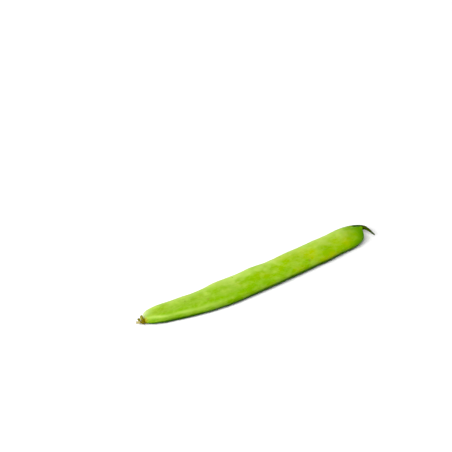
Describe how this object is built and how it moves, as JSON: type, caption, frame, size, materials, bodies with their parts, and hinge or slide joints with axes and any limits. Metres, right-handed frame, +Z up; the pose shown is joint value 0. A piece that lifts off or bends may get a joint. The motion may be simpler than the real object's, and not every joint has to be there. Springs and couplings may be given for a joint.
{
  "type": "green bean",
  "caption": "Flat fresh green bean pod lying on one face, with a hooked beak at one end and a dried calyx and snapped stalk at the other.",
  "frame": {"origin": "middle of the footprint, on the surface that the pod lies on", "axes": "+X runs from the stalk to the beak, +Y points to the ventral suture, the edge that the beak grows from, +Z points up from the face that the pod lies on"},
  "size_m": [0.213, 0.0284, 0.0103],
  "materials": {
    "fresh_green": "satin skin of a fresh pod, yellow green",
    "dry_brown": "dull, dried and papery, ochre to brown",
    "pale_straw": "dull, fibrous, straw coloured"
  },
  "bodies": {
    "root": {"pod": "fresh_green", "calyx": "dry_brown", "pedicel": "pale_straw", "bracteole_upper": "dry_brown", "bracteole_rear": "dry_brown"}
  },
  "joints": []
}
